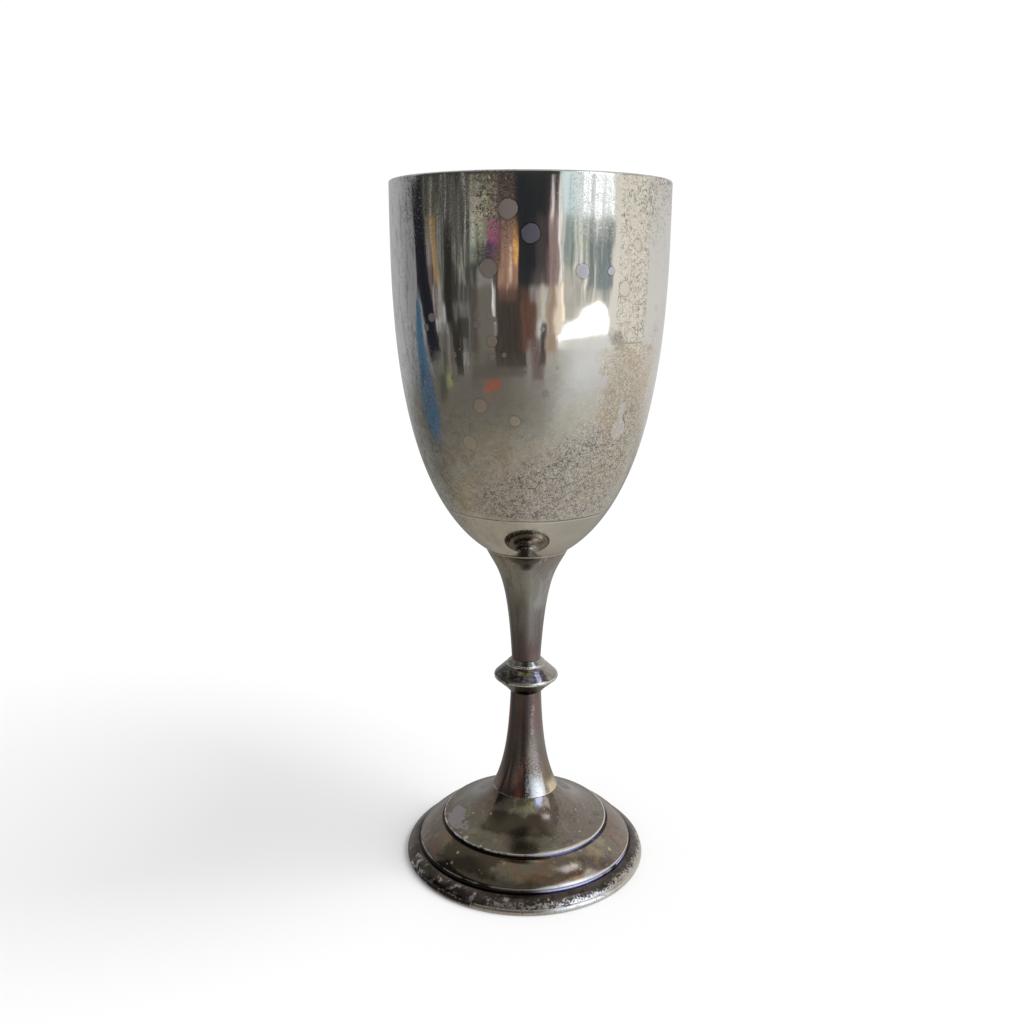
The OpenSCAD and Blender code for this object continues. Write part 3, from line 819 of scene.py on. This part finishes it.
class Room:
    """Colours by direction, painted on the inside of a sphere. turn is 0 towards the camera and grows
    to the right; lift is the angle above the horizon. Both are in degrees."""

    def __init__(self):
        spans = (-90, -50, 2), (-50, -26, 0.5), (-26, 10, 0.16), (10, 60, 1), (60, 90.1, 3)
        lifts = np.concatenate([np.arange(*span) for span in spans])
        self.turn, self.lift = np.meshgrid(np.arange(-180, 180, 0.5), lifts)
        random = np.random.default_rng(12)
        warp = np.zeros((2, *self.turn.shape))
        for k in range(8):
            across, along = random.integers(4, 26), random.uniform(0.1, 1.2)
            for w in warp:
                w += np.sin(np.radians(self.turn) * across + self.lift * along + random.uniform(0, 6.28)) / 8
        self.turn_wavy = self.turn + warp[0] * 2.2
        self.lift_wavy = self.lift + warp[1] * 0.9
        self.colour = np.zeros((*self.turn.shape, 3))

    def lay(self, colour, share):
        self.colour = blend(self.colour, tone(*colour), share)

    def shape(self, colour, corners, soft=0.5):
        """A panel with straight edges. Its corners are (turn, lift), in counterclockwise order."""
        inside = 1.0
        for (a0, e0), (a1, e1) in zip(corners, corners[1:] + corners[:1]):
            length = math.hypot(a1 - a0, e1 - e0)
            depth = ((a1 - a0) * (self.lift - e0) - (e1 - e0) * (self.turn - a0)) / length
            inside = inside * smooth(depth / soft + 0.5)
        self.lay(colour, inside)

    def card(self, colour, turn, lift, soft=(1.0, 0.5), lean=0.0, slope=0.0, cover=1.0):
        """A soft-edged panel. lean moves it round by so many degrees for each degree up; slope raises it
        by so many degrees for each degree round."""
        a = self.turn_wavy - lean * (self.lift - sum(lift) / 2)
        e = self.lift_wavy - slope * (self.turn - sum(turn) / 2)
        inside = smooth((a - turn[0]) / soft[0] + 0.5) * smooth((turn[1] - a) / soft[0] + 0.5)
        inside = inside * smooth((e - lift[0]) / soft[1] + 0.5) * smooth((lift[1] - e) / soft[1] + 0.5)
        self.lay(colour, inside * cover)

    def slats(self, tones, turn, lift, count, seed, tall=(1.5, 7), wide=(0.3, 1.4), cover=(0.4, 0.95)):
        """Narrow upright strips of these tones, scattered over a panel."""
        random = np.random.default_rng(seed)
        for k in range(count):
            start, across = random.uniform(*turn), random.uniform(*wide)
            foot, top = random.uniform(lift[0] - tall[0], lift[1] - tall[0]), random.uniform(*tall)
            self.card(tones[random.integers(len(tones))], (start, start + across), (foot, foot + top),
                      (0.5, 0.5), cover=random.uniform(*cover), lean=random.uniform(-0.12, 0.12))

    def streaks(self, turn, lift, strength, seed, fineness=1.0):
        """Upright streaks of light and shade within a panel."""
        random = np.random.default_rng(seed)
        line = np.zeros_like(self.turn)
        for k in range(14):
            across = random.uniform(20, 150) * fineness
            sway = np.sin(self.lift * random.uniform(0.1, 0.9)) * 1.5
            line += np.sin(np.radians(self.turn_wavy) * across + sway + random.uniform(0, 6.28)) / 4
        inside = smooth((self.turn - turn[0]) / 3) * smooth((turn[1] - self.turn) / 3)
        inside = inside * smooth((self.lift - lift[0]) / 2) * smooth((lift[1] - self.lift) / 2)
        self.colour *= np.exp(line * inside * strength)[..., None]

    def build(self, centre, radius):
        turn, lift = np.radians(self.turn), np.radians(self.lift)
        co = np.stack([np.sin(turn) * np.cos(lift), -np.cos(turn) * np.cos(lift), np.sin(lift)], -1)
        room = add_mesh("room", (co.reshape(-1, 3) * radius + centre).tolist(), round_grid(*turn.shape))
        paint = room.data.color_attributes.new("paint", "FLOAT_COLOR", "POINT")
        colour = np.dstack([self.colour, np.ones(turn.shape)])
        paint.data.foreach_set("color", colour.astype(np.float32).ravel())
        material = new_material("room_light")
        material.cycles.emission_sampling = "NONE"
        tree = material.node_tree
        attribute = tree.nodes.new("ShaderNodeAttribute")
        attribute.attribute_name = "paint"
        light = tree.nodes.new("ShaderNodeEmission")
        output = tree.nodes.new("ShaderNodeOutputMaterial")
        tree.links.new(attribute.outputs["Color"], light.inputs["Color"])
        tree.links.new(light.outputs[0], output.inputs["Surface"])
        room.data.materials.append(material)
        room.visible_camera = room.visible_diffuse = room.visible_shadow = False
        room.visible_transmission = room.visible_volume_scatter = False


def tone(red, green, blue, gain=1.0):
    """What the room needs so that the polished bowl shows this screen colour."""
    return np.array(screen(red, green, blue)) / np.array(screen(235, 232, 226)) * gain


def paint_room():
    room = Room()
    card, shape, slats, streaks = room.card, room.shape, room.slats, room.streaks
    a, e = room.turn, room.lift
    # Walls: a pale one on the right, a grey one on the left. The table runs below them.
    pale = smooth((a + 20) / 80) * smooth((180 - a) / 60)
    wall = blend(tone(166, 166, 165), tone(214, 209, 198), pale)
    wall = blend(wall, 0, np.exp(-((a + 108) / 20) ** 2) * 0.45)
    upper = blend(wall, tone(168, 166, 160), smooth((e - 8) / 40))
    light_side = smooth((a + 30) / 85) * smooth((180 - a) / 50)
    far = smooth((-116 - a) / 24) + smooth((a - 130) / 50)
    table = blend(tone(98, 94, 87), tone(128, 126, 121), far)
    table = blend(table, tone(182, 180, 172), light_side)
    side = smooth((a + 60) / 110) * smooth((180 - a) / 50)
    below = blend(tone(143, 136, 123), tone(171, 167, 157), side)
    table = blend(table, below, smooth((-20 - e) / 30))
    room.colour = blend(table, upper, smooth((e + 17) / 9))

    # The bright window to the right of the camera, and its patch of light on the table.
    card((172, 168, 158), (24, 68), (-9, 5), (2, 1))
    card((140, 150, 146), (24, 48), (-1.5, 5), (4, 1.5))
    card((124, 132, 132), (46, 68), (-5, 2.6), (2, 1.4))
    streaks((24, 68), (-7, 6), 0.28, 5, 0.8)
    card((150, 146, 140), (67, 112), (12, 66), (8, 8), cover=0.85)
    card((240, 244, 246, 1.5), (40, 67.5), (3.4, 46), (2, 1))
    shape((232, 230, 236, 1.5), [(64, 28), (86, 28), (86, 42), (64, 42)], 2)
    shape((228, 234, 250, 2.4), [(65, 56), (85, 50), (85, 58), (65, 64)], 1.5)
    card((228, 236, 240, 1.8), (3, 26), (9, 26), (3, 2))
    card((206, 222, 222), (24, 40), (3.8, 30), (3, 1.5))
    card((168, 172, 112), (35, 44), (0.6, 2.0), (3, 0.8), cover=0.7)
    card((206, 206, 206), (34, 76), (-19, -11.6), (18, 9), slope=0.12, cover=0.72)
    shape((255, 254, 246, 2.2), [(20, -13.0), (68, -9.45), (68, -7.7), (57, -5.9), (20, -12.1)])
    slats([(252, 246, 236), (226, 226, 214), (120, 132, 122), (96, 112, 96), (90, 92, 84)],
               (24, 66), (-6, 6), 60, 15)
    # The wall on the right turns greyer further round.
    card((196, 193, 188), (107, 172), (-14, 60), (6, 6), cover=0.75)

    # The dim half of the room, behind and to the left of the camera.
    card((52, 51, 50), (-103, 23), (-4, 34), (0.6, 1.5))
    card((30, 28, 27), (-104, 22), (14, 60), (10, 14), cover=0.55)
    card((112, 72, 64), (-38, -14), (12, 19), (6, 2))
    card((56, 55, 50), (-94, -46), (-6, 7), (4, 2))
    card((98, 94, 88), (-92, -58), (-16.5, -9), (4, 1.5))
    card((96, 80, 78), (-91, -79), (-8, 1.5), (3, 1.2))
    card((172, 132, 66), (-84.5, -79), (-3, 2.8), (2, 0.8), lean=-0.9, cover=0.7)
    card((152, 148, 142), (-78.5, -75), (-8.4, -2.6), (1.6, 0.8))
    slats([(26, 26, 25), (34, 34, 32), (92, 88, 80), (84, 90, 70), (48, 44, 42),
                (40, 44, 38), (116, 110, 104)], (-98, -44), (-15, 6), 90, 16)
    slats([(150, 148, 142), (206, 204, 200), (128, 136, 120), (176, 172, 166)],
               (-96, -46), (-9, 6), 76, 18, tall=(1.5, 8), wide=(0.25, 0.7), cover=(0.7, 1.0))
    streaks((-95, -44), (-17, 6), 0.42, 8, 1.8)
    card((40, 39, 36), (-73, -64.5), (-9.4, 2.4), (1.4, 1))
    card((54, 52, 47), (-66, -58), (-10, -2.4), (3, 1.4), cover=0.8)
    card((46, 44, 38), (-67, -60), (-16, -9), (2, 1.4), lean=-0.5)
    card((50, 46, 39), (-62, -52), (-11.4, -8), (2, 1))
    card((30, 30, 36), (-101.5, -88.5), (-12.4, 6), (0.7, 0.8), lean=-0.9)
    card((70, 71, 64), (-88, -78), (-20, -15), (3, 1.5), lean=0.5)
    card((150, 154, 90), (-77, -71), (-17.6, -15.2), (3, 1.2), cover=0.55)
    card((100, 95, 86), (-49, -29), (-18, -3), (3, 2))
    card((66, 63, 57), (-58, -43), (-14, -3), (4, 2), cover=0.75)
    card((126, 123, 119), (-43, -30), (-3.6, -1.9), (3, 0.8))
    card((104, 104, 88), (-49, -26), (1.2, 6), (3, 1))
    card((140, 150, 134), (-48, -43.5), (-0.6, 4), (1.6, 1))
    card((118, 134, 66), (-39, -32), (1.6, 4.2), (3, 1.2), cover=0.8)
    slats([(206, 202, 196), (150, 160, 116), (186, 146, 150), (66, 72, 48)],
               (-49, -27), (0.4, 5.6), 90, 17, tall=(0.4, 1.6))
    card((62, 52, 80), (-32.5, -26), (-1.6, 0.6), (1.5, 0.5))
    card((184, 60, 124), (-34, -26.5), (0.5, 1.7), (1.6, 0.5))
    card((176, 146, 60), (-29, -25.4), (-2.2, -1.5), (1.5, 0.4), cover=0.8)
    card((206, 203, 196), (-30.6, -28.9), (-9.4, -3), (0.7, 0.6))
    card((62, 55, 50), (-28.5, -2), (-17.5, -3), (1.5, 2))
    card((138, 104, 88), (-24.5, -11), (-4.8, 2.2), (2, 3))
    slats([(206, 184, 166), (112, 76, 60)], (-24, -12), (-4.5, 2), 50, 19, tall=(0.3, 1.2), wide=(0.3, 0.6))
    card((232, 204, 178), (-17, -15.4), (-3.4, 0.6), (0.7, 0.6))
    card((216, 160, 88), (-13.6, -11.2), (-1.2, 1.2), (0.9, 0.6))
    card((38, 40, 42), (-11, 11), (-4, 6), (2, 3))
    card((92, 68, 58), (-7, 5), (-14.5, -5), (3, 3), lean=-0.2)
    card((66, 60, 60), (4, 16), (-5, 3.4), (3, 1.5))
    card((134, 114, 110), (13, 22), (-4, 3.6), (3, 1.6))
    card((150, 132, 114), (13, 22), (-14.5, -4), (2.5, 1.6))
    card((158, 148, 132), (5, 9), (-8.8, -5.2), (1.6, 1), lean=0.5)
    card((196, 188, 172), (10.2, 12.2), (-11, -4.8), (0.9, 0.6), lean=-0.6)
    card((222, 206, 184), (20, 26), (-10.6, -3.8), (1.8, 0.8), lean=-0.2)
    card((250, 238, 214, 1.2), (24.4, 26.2), (-10, -4), (0.9, 0.7), lean=-0.25)
    card((240, 232, 226, 1.2), (21.4, 23), (-3.6, 5.5), (0.8, 0.8))
    card((228, 218, 214), (16, 17.6), (2.8, 5.6), (0.8, 0.8))
    card((100, 84, 82), (2, 13), (-20.5, -12), (3, 2.5), cover=0.85)
    card((76, 66, 62), (8.4, 12.4), (-17, -9.6), (1.2, 1.4))
    card((74, 70, 62), (-50, -4), (-19, -15), (6, 3), cover=0.6)
    streaks((-34, 24), (-18, 6), 0.2, 9, 1.3)
    card((100, 94, 84), (-90, 20), (-34, -21), (20, 8), cover=0.4)
    shape((164, 74, 42), [(-40, -21.3), (-27, -21.1), (-24, -19.9), (-41, -20.0)])
    shape((62, 90, 112), [(-108, -25.8), (-99, -25.8), (-93, -21), (-96.5, -15), (-101, -6), (-105, -3),
                                   (-109, -7), (-114, -16), (-116, -22)], 1.2)
    shape((84, 90, 116), [(-105, -19), (-100, -19), (-100, -13), (-103, -13)], 1.6)
    room.build(Vector((0, 0, (cad_low.z + cad_high.z) * 0.72)), 3.0)


paint_room()


# -------- floor, light and camera

reach, floor_gap = 8.0, 0.02 * MM
corners = (-reach, -reach, 0), (reach, -reach, 0), (reach, reach, 0), (-reach, reach, 0)
floor = add_mesh("floor", corners, [(0, 1, 2, 3)])
floor.location.z = cad_low.z - floor_gap
floor_paint = bpy.data.materials.new("floor_paper")
floor_paint.use_nodes = True
paper = floor_paint.node_tree.nodes["Principled BSDF"]
paper.inputs["Base Color"].default_value = (0.9, 0.9, 0.9, 1)
paper.inputs["Roughness"].default_value = 1.0
paper.inputs["Specular IOR Level"].default_value = 0.0
floor.data.materials.append(floor_paint)
floor.visible_glossy = False

key_data = bpy.data.lights.new("key", "SUN")
key_data.energy, key_data.angle = 2.4, math.radians(46)
key = add_object("key", key_data)
key.rotation_mode = "QUATERNION"
key_direction = Vector((-0.85, 0.16, -1.0))
key.rotation_quaternion = key_direction.to_track_quat("-Z", "Y")
key.visible_glossy = False

world = bpy.data.worlds.new("studio")
world.use_nodes = True
tree = world.node_tree
backdrop = tree.nodes["Background"]
backdrop.inputs["Color"].default_value = (1, 1, 1, 1)
light_level, seen_level = 0.57, 1.02
ray = tree.nodes.new("ShaderNodeLightPath")
level = tree.nodes.new("ShaderNodeMapRange")
level.inputs["To Min"].default_value, level.inputs["To Max"].default_value = light_level, seen_level
tree.links.new(ray.outputs["Is Camera Ray"], level.inputs["Value"])
tree.links.new(level.outputs["Result"], backdrop.inputs["Strength"])
world.cycles_visibility.glossy = False
scene.world = world
scene.view_settings.view_transform = "Standard"
scene.view_settings.look = "None"

camera_data = bpy.data.cameras.new("camera")
camera_data.sensor_width = 36
camera_data.lens = 35.88
camera = add_object("camera", camera_data)
tilt, roll = math.radians(13.24), math.radians(0.3)
# From the chalice's middle to the camera: to the right, back and up, as shares of its height.
place = Vector((-0.0225, -1.4497, 0.3822))
camera.location = (cad_low + cad_high) / 2 + place * (cad_high.z - cad_low.z)
look = Vector((0, math.cos(tilt), -math.sin(tilt))).to_track_quat("-Z", "Y")
camera.rotation_mode = "QUATERNION"
camera.rotation_quaternion = look @ Matrix.Rotation(roll, 4, "Z").to_quaternion()
camera_data.clip_start, camera_data.clip_end = 0.01, 50
scene.camera = camera
